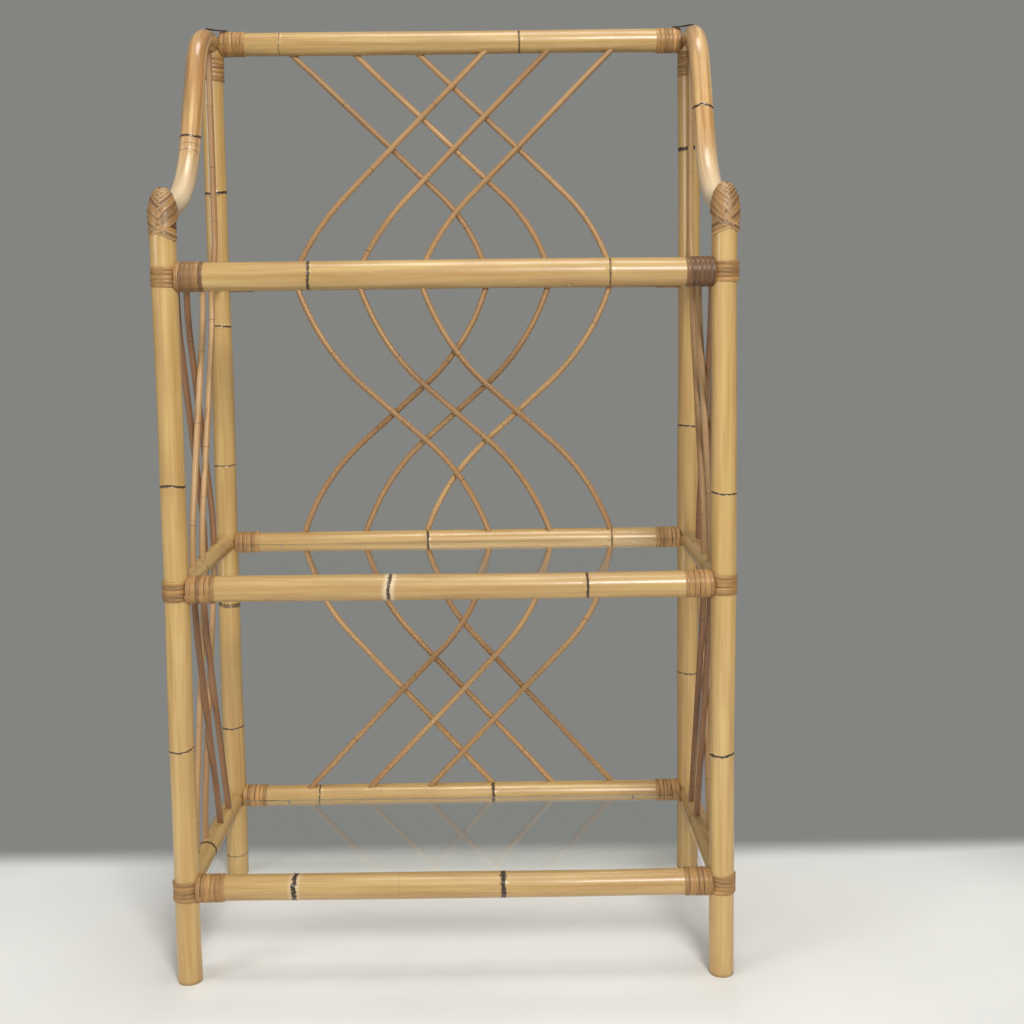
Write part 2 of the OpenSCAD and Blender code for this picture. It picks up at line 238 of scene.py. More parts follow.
def strip_material(name, tan, brown, edge):
    """Split cane strip: fibres along the strip, and pale edges that are a painted highlight."""
    material, tree, shader = new_material(name)
    where = attribute(tree, "cane", "Vector")
    fibres = noise(tree, where, 1500, 40, 3.0, 0.3, 0.7)
    clouds = noise(tree, where, 160, 6, 3.0, 0.4, 0.75)
    colour = mix(tree, attribute(tree, "tone"), tan, brown)
    colour = mix(tree, times(tree, clouds, 0.45), colour, brown)
    colour = mix(tree, times(tree, fibres, 0.35), colour, brown, "MULTIPLY")
    # Painted highlight: the strip's edges are mixed towards the pale edge colour
    colour = mix(tree, attribute(tree, "edge"), colour, edge)
    tree.links.new(colour, shader.inputs["Base Color"])
    tree.links.new(plus(tree, times(tree, fibres, 0.18), 0.38), shader.inputs["Roughness"])
    bump = add(tree, "Bump", {"Height": fibres, "Strength": 0.35, "Distance": 0.3 * MM})
    tree.links.new(bump.outputs[0], shader.inputs["Normal"])
    shader.inputs["Coat Weight"].default_value = 0.12
    shader.inputs["Coat Roughness"].default_value = 0.12
    return material


DRAWN_STEEL = (0.42, 0.42, 0.43)
RUST = (0.24, 0.18, 0.14)


def steel_material():
    """Drawn wire with faint scratches and a little rust."""
    material, tree, shader = new_material("steel")
    where = add(tree, "TexCoord").outputs["Object"]
    scratches = noise(tree, where, 900, 1, 3.0)
    colour = mix(tree, times(tree, scratches, 0.5), DRAWN_STEEL, RUST)
    tree.links.new(colour, shader.inputs["Base Color"])
    tree.links.new(plus(tree, times(tree, scratches, 0.25), 0.3), shader.inputs["Roughness"])
    shader.inputs["Metallic"].default_value = 1.0
    return material


def glass_material(name, tint, haze, clear):
    """Float glass with faint dust on it. The ground edges let less light through."""
    material, tree, shader = new_material(name)
    where = add(tree, "TexCoord").outputs["Object"]
    dust = noise(tree, where, 60, 1, 5.0, 0.5, 0.9)
    tree.links.new(times(tree, dust, haze), shader.inputs["Roughness"])
    shader.inputs["Base Color"].default_value = (*tint, 1)
    shader.inputs["Transmission Weight"].default_value = clear
    shader.inputs["IOR"].default_value = 1.5
    return material


MATERIALS = {
    "post": cane_material("post", (0.64, 0.44, 0.175), (0.52, 0.32, 0.105), (0.34, 0.17, 0.055)),
    "rail": cane_material("rail", (0.57, 0.39, 0.155), (0.47, 0.285, 0.10), (0.31, 0.155, 0.052), coat=0.3),
    "arm": cane_material("arm", (0.74, 0.51, 0.24), (0.44, 0.23, 0.075), (0.20, 0.08, 0.025), gloss=0.30,
                         coat=0.5, stain=0.75),
    "rod": cane_material("rod", (0.56, 0.35, 0.155), (0.40, 0.22, 0.085), (0.18, 0.08, 0.03), gloss=0.45,
                         coat=0.15, shine=0.4, grain=0.25),
    "dark_rod": cane_material("dark_rod", (0.36, 0.18, 0.08), (0.25, 0.12, 0.05), (0.12, 0.05, 0.02),
                              gloss=0.45, coat=0.15, shine=0.4, grain=0.25),
    # A strip material's last colour is the pale colour of its painted edge highlight
    "binding": strip_material("binding", (0.55, 0.295, 0.09), (0.12, 0.046, 0.012), (0.86, 0.64, 0.36)),
    # The lashing's near-black colours are painted shade over the arm joints
    "lashing": strip_material("lashing", (0.06, 0.035, 0.02), (0.03, 0.015, 0.01), (0.12, 0.07, 0.05)),
    "steel": steel_material(),
    "glass": glass_material("glass", (0.955, 0.985, 0.965), 0.02, 1.0),
    "glass_edge": glass_material("glass_edge", (0.03, 0.07, 0.055), 0.4, 0.3),
}


# ---- Mesh building ----

def grid(name, points, vectors, floats):
    """A tube with flat ends from rings of points, each ring closed, with attributes on its points."""
    rings, around = points.shape[:2]
    index = np.arange(rings * around).reshape(rings, around)
    after = np.roll(index, -1, axis=1)
    quads = np.stack((index[:-1], after[:-1], after[1:], index[1:]), axis=-1).reshape(-1, 4)
    faces = quads.tolist() + [index[0, ::-1].tolist(), index[-1].tolist()]
    mesh = bpy.data.meshes.new(name)
    mesh.from_pydata(points.reshape(-1, 3).tolist(), [], faces)
    smooth = np.ones(len(faces), dtype=bool)
    smooth[-2:] = False
    mesh.polygons.foreach_set("use_smooth", smooth)
    for key, values in vectors.items():
        data = mesh.attributes.new(key, "FLOAT_VECTOR", "POINT").data
        data.foreach_set("vector", values.astype(np.float32).ravel())
    for key, values in floats.items():
        data = mesh.attributes.new(key, "FLOAT", "POINT").data
        data.foreach_set("value", np.broadcast_to(values, (rings, around)).astype(np.float32).ravel())
    return mesh


def join(name, meshes, material, nodes=(), body="frame"):
    """One piece from several meshes, riding on its body in place of its CAD nodes."""
    whole = bmesh.new()
    for mesh in meshes:
        whole.from_mesh(mesh)
        bpy.data.meshes.remove(mesh)
    result = bpy.data.meshes.new(name)
    whole.to_mesh(result)
    whole.free()
    piece = bpy.data.objects.new(name, result)
    bpy.context.scene.collection.objects.link(piece)
    result.materials.append(MATERIALS[material])
    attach(piece, body)
    if nodes:
        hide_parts(*nodes)


def lengths(points):
    steps = np.linalg.norm(np.diff(points, axis=0), axis=1)
    return np.concatenate(([0], np.cumsum(steps)))


def along(points, stations):
    """Places and unit tangents at stations, in metres along a line of points."""
    run = lengths(points)
    places = np.stack([np.interp(stations, run, points[:, axis]) for axis in range(3)], axis=1)
    tangents = np.gradient(places, stations, axis=0)
    return places, tangents / np.linalg.norm(tangents, axis=1)[:, None]


def line(start, end, step=0.01):
    count = max(2, int(np.linalg.norm(np.subtract(end, start)) / step) + 1)
    return np.linspace(start, end, count)


def arc(centre, radius, start, end, first, second):
    """Points on an arc, from one angle to another in radians, in the plane of two unit axes."""
    count = max(3, int(abs(end - start) * radius / (3 * MM)) + 1)
    angles = np.linspace(start, end, count)[:, None]
    return centre + radius * (np.cos(angles) * first + np.sin(angles) * second)


def chain(*stretches):
    """Stretches of one route joined, without doubled points."""
    route = np.concatenate(stretches)
    keep = np.concatenate(([True], np.linalg.norm(np.diff(route, axis=0), axis=1) > 1e-6))
    return route[keep]


class Ring:
    """A growth ring on a cane.

    Its place is in metres along the cane. How far it waves and its half width are in mm. How dark it
    is, and how pale the halo round it is, run from 0 to 1.
    """

    def __init__(self, at, wave=0.8, dark=0.95, width=1.1, bleach=0.0):
        self.at = at
        self.wave = wave * MM
        self.dark = dark
        self.width = width * MM
        self.bleach = bleach


# The form of a growth ring on a 30 mm cane, and the paler halo round some of them
RING_SWELL = 0.45 * MM
SWELL_SPREAD = 3.2 * MM
RING_GROOVE = 0.75 * MM
GROOVE_SPREAD = 0.8 * MM
HALO_AWAY = 4 * MM
HALO_SPREAD = 3 * MM
# How far from its ends a cane wavers in full
WAVER_EASE = 0.05


def cane_stations(total, rings, scale, dome):
    """Where a cane has its cross-sections: every 6 mm, closer at its rings and in its dome."""
    stations = set(np.linspace(0, total, max(8, int(total / (6 * MM)))).tolist())
    for ring in rings:
        near = np.linspace(-9, 9, 31) * scale * MM
        stations |= {ring.at + offset for offset in near if 0 < ring.at + offset < total}
    if dome:
        stations |= set((total - dome * (1 - np.sin(np.linspace(0, math.pi / 2, 12)))).tolist())
    return np.unique(np.round(sorted(stations), 6))


def shape_rings(rings, s, angle, scale, thick, chance):
    """The cane's thickness with its swollen and grooved rings, their marks and the bleached halos."""
    shape = np.broadcast(s, angle).shape
    pale = np.zeros(shape)
    nearest = np.full(shape, 1.0)
    marks = np.zeros((*shape, 3))
    marks[..., 0] = 1.0
    marks[..., 1] = MM
    for ring in rings:
        turn = chance.uniform(0, 6.28)
        wave = ring.wave * (np.sin(angle + turn) + 0.45 * np.sin(3 * angle + 2 * turn))
        away = s - ring.at - wave
        closer = np.abs(away) < nearest
        nearest = np.where(closer, np.abs(away), nearest)
        for k, value in enumerate((away, ring.width * scale ** 0.5, ring.dark)):
            marks[..., k] = np.where(closer, value, marks[..., k])
        if ring.bleach:
            halo = np.exp(-((np.abs(away) - HALO_AWAY) / HALO_SPREAD) ** 2)
            pale = np.maximum(pale, ring.bleach * halo)
        thick = thick + RING_SWELL * scale * np.exp(-(away / (SWELL_SPREAD * scale)) ** 2)
        thick = thick - RING_GROOVE * scale * np.exp(-(away / GROOVE_SPREAD) ** 2)
    return thick, marks, pale


def cane(name, route, radius, normal, rings=(), seed=0, sides=40, tone=0.0, waver=0.5 * MM,
         dome=0.0, bleach=None):
    """A cane pole or rod along a flat route: growth rings, a slight waver and uneven thickness."""
    chance = random.Random(seed)
    total = lengths(route)[-1]
    scale = max(radius / (15 * MM), 0.35)
    stations = cane_stations(total, rings, scale, dome)
    places, tangents = along(route, stations)
    sideways = np.cross(normal, tangents)
    phases = [chance.uniform(0, 6.28) for _ in range(6)]
    ease = np.clip(np.minimum(stations, total - stations) / WAVER_EASE, 0, 1)
    lean = waver * ease * (np.sin(stations * 9 + phases[0]) + 0.5 * np.sin(stations * 23 + phases[1]))
    bow = waver * ease * np.sin(stations * 7 + phases[2])
    places = places + sideways * lean[:, None] + normal * bow[:, None]
    angle = np.linspace(0, 2 * math.pi, sides, endpoint=False)[None, :]
    s = stations[:, None]
    thick = radius * (1 + 0.012 * np.sin(s * 13 + phases[3]) + 0.006 * np.sin(2 * angle + s * 5 + phases[4]))
    thick, marks, pale = shape_rings(rings, s, angle, scale, thick, chance)
    if bleach is not None:
        pale = np.maximum(pale, bleach(s / total) + 0 * angle)
    if dome:
        rest = np.clip((s - (total - dome)) / dome, 0, 0.999)
        thick = thick * np.sqrt(1 - rest ** 2)
    outward = np.cos(angle)[..., None] * sideways[:, None, :] + np.sin(angle)[..., None] * normal
    points = places[:, None, :] + thick[..., None] * outward
    offset = chance.uniform(0, 40)
    coords = np.stack(np.broadcast_arrays(
        radius * np.cos(angle), radius * np.sin(angle), s + offset), axis=-1)
    return grid(name, points, {"cane": coords, "ring": marks}, {"bleach": pale, "tone": tone})


# A strip's cross-section, as shares of its width and thickness, and how much painted highlight each point of
# it has
STRIP = np.array([(-0.5, 0.05), (-0.46, 0.62), (-0.28, 0.93), (0, 1.0), (0.28, 0.93), (0.46, 0.62),
                  (0.5, 0.05)])
STRIP_HIGHLIGHT = np.array([1.0, 0.75, 0.1, 0.0, 0.1, 0.75, 1.0])


def strip(name, places, normals, width, thickness, tone, seed, shingle=0.0, edge=0.45):
    """A flat cane strip laid on a surface. A shingled strip has its second side raised. Its edge value sets
    how strong the painted highlight on its edges is.
    """
    chance = random.Random(seed)
    run = lengths(places)
    tangents = np.gradient(places, run, axis=0)
    tangents /= np.linalg.norm(tangents, axis=1)[:, None]
    across = np.cross(tangents, normals)
    across /= np.linalg.norm(across, axis=1)[:, None]
    wide = width * (1 + 0.05 * np.sin(run * 260 + chance.uniform(0, 6)))
    high = thickness * (1 + 0.08 * np.sin(run * 190 + chance.uniform(0, 6)))
    x = STRIP[:, 0][None, :] * wide[:, None]
    lift = high[:, None] * (STRIP[:, 1][None, :] + shingle * (0.5 + STRIP[:, 0][None, :]))
    points = places[:, None, :] + across[:, None, :] * x[..., None] + normals[:, None, :] * lift[..., None]
    offset = chance.uniform(0, 40)
    coords = np.stack(np.broadcast_arrays(x, lift, run[:, None] + offset), axis=-1)
    # Painted highlight: the pale edges stand in for light caught by the strip's rounded edges; a shingled
    # strip has it mostly on its raised side
    rim = edge * STRIP_HIGHLIGHT[None, :] * np.where(STRIP[:, 0] < 0, 1 - min(1, shingle), 1)[None, :]
    return grid(name, points, {"cane": coords}, {"tone": tone, "edge": rim + 0 * x})


# ---- Poles ----

def upright(side, y, top):
    return line((side * SIDE_X, y, 0), (side * SIDE_X, y, top))


# Rings of the posts, by their height
POST_RINGS = {
    ("front", "left"): [Ring(0.291, 1.6), Ring(0.609, 1.8, width=1.5), Ring(0.934, 0.5, 0.4)],
    ("front", "right"): [Ring(0.277, 1.4, width=1.5), Ring(0.594, 1.0)],
    ("rear", "left"): [Ring(0.030, 0.6, 0.7), Ring(0.221, 0.7), Ring(0.399, 1.2, 0.75, 3.0),
                       Ring(0.597, 0.5, 0.7), Ring(0.790, 0.9), Ring(0.972, 1.1, width=1.8)],
    ("rear", "right"): [Ring(0.292, 0.6, 0.8), Ring(0.645, 0.7), Ring(1.026, 1.4, width=2.6)],
}
# Rings of the long rails, by their distance from the middle
RAIL_RINGS = {
    "lower_front_rail": [Ring(-0.193, 0.9, 0.97, 3.2, 0.5), Ring(0.0585, 0.9, 0.97, 3.0)],
    "middle_front_rail": [Ring(-0.0714, 1.2, 0.9, 2.0, 0.9), Ring(0.1628, 0.5, 0.95, 1.5)],
    "upper_front_rail": [Ring(-0.158, 0.4, 0.9, 1.8), Ring(0.191, 0.5, 0.7)],
    "lower_rear_rail": [Ring(-0.203, 0.5, 0.8), Ring(0.046, 0.7, 0.9, 2.2)],
    "middle_rear_rail": [Ring(-0.042, 0.7, 0.95, 1.6), Ring(0.216, 0.5, 0.8)],
    "upper_rear_rail": [Ring(0.09, 0.5, 0.8)],
    "top_rail": [Ring(-0.232, 0.4, 0.35), Ring(0.093, 0.5, 0.85, 1.3)],
}


def build_posts():
    for number, ((end, name), rings) in enumerate(POST_RINGS.items()):
        node = f"{end}_post_{name}"
        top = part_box(node)[1][2]
        route = upright(SIDES[name], FRONT_Y if end == "front" else REAR_Y, top)
        dome = CAP_POINT if end == "front" else 0
        mesh = cane(node, route, POST_R, BACK, rings, 11 + number, tone=0.05 * number, dome=dome)
        join("pole_" + node, [mesh], "post", [node])


def build_cross_rails():
    """Each long rail stops inside its windings, short of the post's far side."""
    half = SIDE_X - RAIL_GAP
    for number, (node, rings) in enumerate(RAIL_RINGS.items()):
        _, y, z = middle(node)
        for ring in rings:
            ring.at += half
        route = line((-half, y, z), (half, y, z))
        mesh = cane(node, route, size(node)[2] / 2, UP, rings, 31 + number)
        join("pole_" + node, [mesh], "rail", [node])


def build_side_rails():
    rings = {
        ("lower", "left"): [Ring(0.095, 0.9, 0.9, 3.4), Ring(0.205, 0.4, 0.6)],
        ("middle", "left"): [Ring(0.10, 0.5, 0.95), Ring(0.21, 0.4, 0.5)],
        ("upper", "left"): [Ring(0.16, 0.5, 0.6)],
        ("lower", "right"): [Ring(0.17, 0.5, 0.8)],
        ("middle", "right"): [Ring(0.07, 0.5, 0.6), Ring(0.19, 0.5, 0.8)],
        ("upper", "right"): [Ring(0.12, 0.5, 0.7)],
    }
    for number, ((tier, name), marks) in enumerate(rings.items()):
        node = f"{tier}_side_rail_{name}"
        low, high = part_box(node)
        x = SIDES[name] * SIDE_X
        route = line((x, low[1], RAIL_Z[tier]), (x, high[1], RAIL_Z[tier]))
        mesh = cane(node, route, SIDE_RAIL_R, ACROSS, marks, 61 + number, tone=0.08, waver=0.2 * MM)
        join("pole_" + node, [mesh], "rail", [node])


def arm_route(side):
    x = side * SIDE_X
    root = np.array([x, FRONT_Y + POST_R, ARM_ROOT_Z])
    low_centre = root + ARM_LOW_BEND * UP
    quarter = math.pi / 2
    low = arc(low_centre, ARM_LOW_BEND, -quarter - 0.05, -ARM_LEAN, BACK, UP)
    high_start_z = TOP_Z - ARM_HIGH_BEND * (1 - math.sin(ARM_LEAN))
    straight = (high_start_z - low[-1][2]) / math.cos(ARM_LEAN)
    high_start = low[-1] + straight * (math.sin(ARM_LEAN) * BACK + math.cos(ARM_LEAN) * UP)
    outward = math.cos(ARM_LEAN) * BACK - math.sin(ARM_LEAN) * UP
    high_centre = high_start + ARM_HIGH_BEND * outward
    high = arc(high_centre, ARM_HIGH_BEND, math.pi - ARM_LEAN, quarter, BACK, UP)
    return chain(low, line(low[-1], high_start), high, line(high[-1], (x, ARM_END_Y, TOP_Z)))


def arm_bleach(share):
    """How pale an arm is, by the share of its length from its root."""
    return np.clip(1.3 - 2.9 * share, 0, 0.85)


def build_arms():
    """The scrolled arms, a little slimmer than their CAD poles."""
    rings = {
        "left": [Ring(0.158, 1.2, 0.45, 0.9), Ring(0.181, 2.2, 0.95, 1.8)],
        "right": [Ring(0.217, 2.2, 0.95, 2.0)],
    }
    for number, (name, side) in enumerate(SIDES.items()):
        node = "scroll_arm_" + name
        mesh = cane(node, arm_route(side), ARM_WAIST, ACROSS, rings[name], 81 + number, waver=0.3 * MM,
                    bleach=arm_bleach)
        join("pole_" + node, [mesh], "arm", [node])


# ---- Lattice ----

def rod_route(top, bottom, bends, out):
    """Bend, slope and bend of a thin rod between two points, in the plane of out and up."""
    (top_bend, top_lean), (low_bend, low_lean) = bends
    top_bend, low_bend = top_bend * MM, low_bend * MM
    top_lean, low_lean = math.radians(top_lean), math.radians(low_lean)
    top_centre = top + top_bend * (math.cos(top_lean) * out + math.sin(top_lean) * UP)
    low_centre = bottom - low_bend * (math.cos(low_lean) * out + math.sin(low_lean) * UP)
    run = low_centre - top_centre
    flat, drop = run @ out, -run @ UP
    lean = math.atan2(flat, drop) + math.asin((top_bend + low_bend) / math.hypot(flat, drop))
    away = math.cos(lean) * out + math.sin(lean) * UP
    down = math.sin(lean) * out - math.cos(lean) * UP
    slope_top = top_centre - top_bend * away
    slope_low = low_centre + low_bend * away
    stretches = [line(slope_top, slope_low)]
    if top_bend:
        start = math.pi + top_lean - ROD_STUB / top_bend
        stretches.insert(0, arc(top_centre, top_bend, start, math.pi + lean, out, UP))
    else:
        stretches.insert(0, line(slope_top - ROD_STUB * down, slope_top))
    if low_bend:
        stretches.append(arc(low_centre, low_bend, lean, low_lean - ROD_STUB / low_bend, out, UP))
    else:
        stretches.append(line(slope_low, slope_low + ROD_STUB * down))
    return chain(*stretches)


def rod_rings(seed, total):
    """A few small growth rings at uneven places along a thin rod."""
    chance = random.Random(seed)
    places = [chance.uniform(0.12, 0.35), chance.uniform(0.45, 0.65), chance.uniform(0.75, 0.92)]
    return [Ring(place * total, 0.3, chance.uniform(0.25, 0.8), 0.8) for place in places]


def rod(name, route, normal, seed, tone):
    rings = rod_rings(seed, lengths(route)[-1])
    return cane(name, route, ROD_R, normal, rings, seed, sides=20, tone=tone)


def build_back_rods():
    levels = [RAIL_Z["lower"], RAIL_Z["middle"], RAIL_Z["upper"], TOP_Z]
    panels = ("lower", "middle", "top")
    for (name, fall_name), bends in BACK_BENDS.items():
        panel, fall = panels.index(name), SIDES[fall_name]
        layer = (1 if name == "middle" else -1) * -fall * LAYER
        for i in range(3):
            node = f"{name}_back_rod_to_{fall_name}_{i + 1}"
            start = (i - 2.5) * BACK_PITCH * fall
            top = np.array([start, REAR_Y + layer, levels[panel + 1] - CROSS_R])
            bottom = np.array([start + 3 * BACK_PITCH * fall, REAR_Y + layer, levels[panel] + CROSS_R])
            seed = 101 + 20 * panel + 7 * i + (fall > 0)
            route = rod_route(top, bottom, bends, fall * ACROSS)
            mesh = rod(node, route, BACK, seed, random.Random(seed).uniform(0, 0.35))
            join("lattice_" + node, [mesh], "rod", [node])


def build_side_rods():
    for (tier, end), bends in SIDE_BENDS.items():
        fall = 1 if end == "rear" else -1
        upper = TIERS[TIERS.index(tier) + 1]
        inner = (tier == "lower") == (end == "rear")
        for name, side in SIDES.items():
            node = f"{tier}_side_rods_{name}_to_{end}"
            x = side * (SIDE_X - LAYER if inner else SIDE_X + LAYER)
            meshes = []
            for i in range(2):
                start = (i - 1.5) * SIDE_PITCH * fall
                top = np.array([x, start, RAIL_Z[upper] - SIDE_RAIL_R])
                bottom = np.array([x, start + 2 * SIDE_PITCH * fall, RAIL_Z[tier] + SIDE_RAIL_R])
                seed = 201 + 31 * i + 3 * side + (17 if tier == "lower" else 0) + (5 if end == "rear" else 0)
                meshes.append(rod(node, rod_route(top, bottom, bends, fall * BACK), ACROSS, seed, 0.1))
            slot = "dark_rod" if end == "rear" else "rod"
            join("lattice_" + node, meshes, slot, [node])


def build_top_side_rods():
    bend, turn = 100 * MM, math.radians(30)
    y = REAR_Y - POST_R - LAYER
    turn_z = RAIL_Z["upper"] + SIDE_RAIL_R + bend * math.sin(turn)
    for name, side in SIDES.items():
        node = "top_side_rod_" + name
        x = side * SIDE_X
        centre = np.array([x, y - bend, turn_z])
        low = arc(centre, bend, 0, -turn - ROD_STUB / bend, BACK, UP)
        route = chain(line((x, y, TOP_Z - ARM_R + ROD_STUB), (x, y, turn_z)), low)
        mesh = rod(node, route, ACROSS, 301 + side, 0.05)
        join("lattice_" + node, [mesh], "rod", [node])


# ---- Bindings ----

def winding(name, start, direction, radius, tone, seed):
    """A cane strip wound round a pole in touching turns."""
    chance = random.Random(seed)
    direction = np.array(direction, float)
    first = UP if abs(direction[2]) < 0.5 else ACROSS
    second = np.cross(direction, first)
    pitch = WINDING_LEN / WINDING_TURNS
    width = pitch * 0.97
    ends = [np.array(start) + inset * direction for inset in (0.6 * MM, WINDING_LEN - 0.6 * MM)]
    # The core under the turns is coloured dark brown (tone 1) as painted shade in the gaps between them
    meshes = [cane("core", line(*ends), radius + 0.35 * MM, second, (), seed, tone=1.0, waver=0)]
    overlap, first_angle = 0.35, 2.2
    for turn in range(WINDING_TURNS):
        angle = np.linspace(-overlap, 2 * math.pi + overlap, 52)[:, None] + first_angle
        drift = pitch * 0.28 * np.sin(angle / 2 + chance.uniform(0, 6))
        slant = pitch * 0.35 * (angle - first_angle - math.pi) / (2 * math.pi)
        s = pitch * (turn + 0.5) + slant + 0.25 * drift
        s = np.clip(s, width / 2, WINDING_LEN - width / 2)
        outward = np.cos(angle) * first + np.sin(angle) * second
        lifted = radius + chance.uniform(0, 0.2) * MM
        places = np.array(start) + s * direction + lifted * outward
        shade = min(1, max(0, tone + chance.uniform(-0.2, 0.35)))
        meshes.append(strip(name, places, outward, width, WINDING_THICK * chance.uniform(0.8, 1.0),
                            shade, seed * 31 + turn, edge=0.2))
    return meshes


def band(name, side, y, z, tone, seed):
    """Strips round the outside of a post where its rails meet it, tucked in at both rails."""
    chance = random.Random(seed)
    meshes = []
    pitch = BAND_HEIGHT / BAND_TURNS
    middle_angle = math.atan2(math.copysign(1, y), side)
    for turn in range(BAND_TURNS):
        angle = np.linspace(-BAND_REACH, BAND_REACH, 44)[:, None] + middle_angle
        tilt = chance.uniform(-0.5, 0.5) * MM
        slope = tilt * np.sin(angle - middle_angle)
        level = z - BAND_HEIGHT / 2 + pitch * (turn + 0.5) + slope
        outward = np.cos(angle) * ACROSS + np.sin(angle) * BACK
        places = np.array([side * SIDE_X, y, 0]) + (POST_R - 0.05 * MM) * outward + level * UP
        shade = min(1, max(0, tone + chance.uniform(-0.25, 0.3)))
        meshes.append(strip(name, places, outward, pitch * 1.04, chance.uniform(1.6, 2.1) * MM, shade,
                            seed * 17 + turn, edge=0.2))
    return meshes


def rail_winding(name, side, y, z, radius, tone, seed):
    start = (side * (SIDE_X - WINDING_START), y, z)
    return winding(name, start, (-side, 0, 0), radius, tone, seed)


# How brown the windings of the front rails are, on each side
WINDING_TONES = {("lower", -1): 0.15, ("lower", 1): 0.2, ("middle", -1): 0.3, ("middle", 1): 0.25,
                 ("upper", -1): 0.6, ("upper", 1): 0.9}


def build_joint_bindings():
    for number, tier in enumerate(TIERS):
        radius = UPPER_FRONT_R if tier == "upper" else CROSS_R
        node = tier + "_front_bindings"
        meshes = []
        for side in SIDES.values():
            seed = 401 + 10 * number + side
            tone = WINDING_TONES[tier, side]
            meshes += band(node, side, FRONT_Y, RAIL_Z[tier], 0.25, seed)
            meshes += rail_winding(node, side, FRONT_Y, RAIL_Z[tier], radius, tone, seed + 5)
        join("binding_" + node, meshes, "binding", [node])
    meshes = []
    for number, tier in enumerate(TIERS):
        for side in SIDES.values():
            seed = 451 + 10 * number + side
            meshes += band("rear", side, REAR_Y, RAIL_Z[tier], 0.3, seed)
            meshes += rail_winding("rear", side, REAR_Y, RAIL_Z[tier], CROSS_R, 0.15, seed + 5)
    join("binding_rear", meshes, "binding", ["rear_bindings"])
    meshes = []
    for side in SIDES.values():
        seed = 491 + side
        meshes += rail_winding("top", side, REAR_Y, TOP_Z, CROSS_R, 0.1, seed)
        start = (side * SIDE_X, REAR_Y, TOP_Z - 50 * MM)
        meshes += winding("top", start, (0, 0, 1), POST_R, 0.2, seed + 7)
    join("binding_top", meshes, "binding", ["top_bindings"])


def cap_surface(side, angle, h):
    """A point on the cap's form and its outward normal. h rises up the post and over the pointed top."""
    radius = POST_R + 0.3 * MM
    top_z = CAP_TOP - CAP_POINT
    roll = np.clip((h - top_z) / (0.72 * CAP_POINT), 0, 1.5)
    facing = np.cos(angle) * side * ACROSS - np.sin(angle) * BACK
    ring = radius * np.cos(roll)
    z = np.minimum(h, top_z) + (CAP_POINT - 1.9 * MM) * np.sin(roll)
    normal = facing * np.cos(roll) * CAP_POINT / radius + UP * np.sin(roll)
    normal = normal / np.linalg.norm(normal)
    return np.array([side * SIDE_X, FRONT_Y, 0]) + facing * ring + z * UP, normal, roll, ring


def cap_strip(side, hand, start_h, slopes, tone, seed, behind):
    """One strip of the woven cap. It starts behind the front centre line and climbs to one hand.

    The slopes, in radians, are those before and after the centre line.
    """
    step = 0.9 * MM
    angle, h = math.pi / 2 - hand * behind, start_h - math.tan(slopes[0]) * behind * POST_R
    places, normals = [], []
    turned, roll = -behind, 0.0
    while turned < CAP_STRIP_END and roll < 1.42:
        place, normal, roll, ring = cap_surface(side, angle, h)
        places.append(place)
        normals.append(normal)
        slope = slopes[0] if turned < 0 else slopes[1]
        angle += hand * math.cos(slope) * step / ring
        turned += math.cos(slope) * step / ring
        h += math.sin(slope) * step
    if hand * side > 0:
        places, normals = places[::-1], normals[::-1]
    return strip("cap", np.array(places), np.array(normals), CAP_STRIP_WIDTH, CAP_STRIP_THICK, tone, seed,
                 shingle=0.9, edge=0.75)


def build_caps():
    """Each cap is a core under strips, its dark colour painted shade in the gaps between them. The lowest
    strips cross, the others meet in chevrons.
    """
    for name, side in SIDES.items():
        chance = random.Random(520 + side)
        foot = (side * SIDE_X, FRONT_Y, CAP_LOW + 6 * MM)
        route = line(foot, (side * SIDE_X, FRONT_Y, CAP_TOP - CAP_INSET))
        # The core's dark tone is painted shade where it shows between the strips
        meshes = [cane("core", route, POST_R + 0.4 * MM, BACK, (), 5, tone=0.8, dome=31 * MM, waver=0)]
        for hand in (-1, 1):
            for k in range(CAP_STRIPS):
                start = CAP_LOW + (CAP_PITCH * k + (3.1 if hand > 0 else 0) + 3.5) * MM
                low = k < CAP_LOW_STRIPS
                slopes = (math.radians(20 if low else 36), math.radians(27 + 3 * max(k, CAP_LOW_STRIPS)))
                tone = chance.uniform(0.25, 0.85)
                seed = 530 + CAP_STRIPS * k + hand
                meshes.append(cap_strip(side, hand, start, slopes, tone, seed, 1.3 if low else 0.24))
        join("binding_cap_" + name, meshes, "binding", ["cap_binding_" + name])


def build_lashings():
    """Straps from the crown of each arm across to the winding on the top rail. Their near-black colour is
    painted shade, with a faint painted highlight on their edges.
    """
    meshes = []
    for side in SIDES.values():
        start = np.array([side * (SIDE_X - 1 * MM), REAR_Y - 30 * MM, TOP_Z + ARM_R + 0.5 * MM])
        end = np.array([side * (SIDE_X - 22 * MM), REAR_Y - 2 * MM, TOP_Z + CROSS_R + 1.6 * MM])
        t = np.linspace(0, 1, 20)[:, None]
        places = start * (1 - t) + end * t - 0.5 * MM * np.sin(math.pi * t) * UP
        if side > 0:
            places = places[::-1]
        normals = np.repeat(UP[None, :], len(t), axis=0)
        meshes.append(strip("lashing", places, normals, 7 * MM, 1.2 * MM, 0.4, 601 + side, edge=0.3))
    join("corner_straps", meshes, "lashing", ["corner_lashings"])


# ---- Glass ----

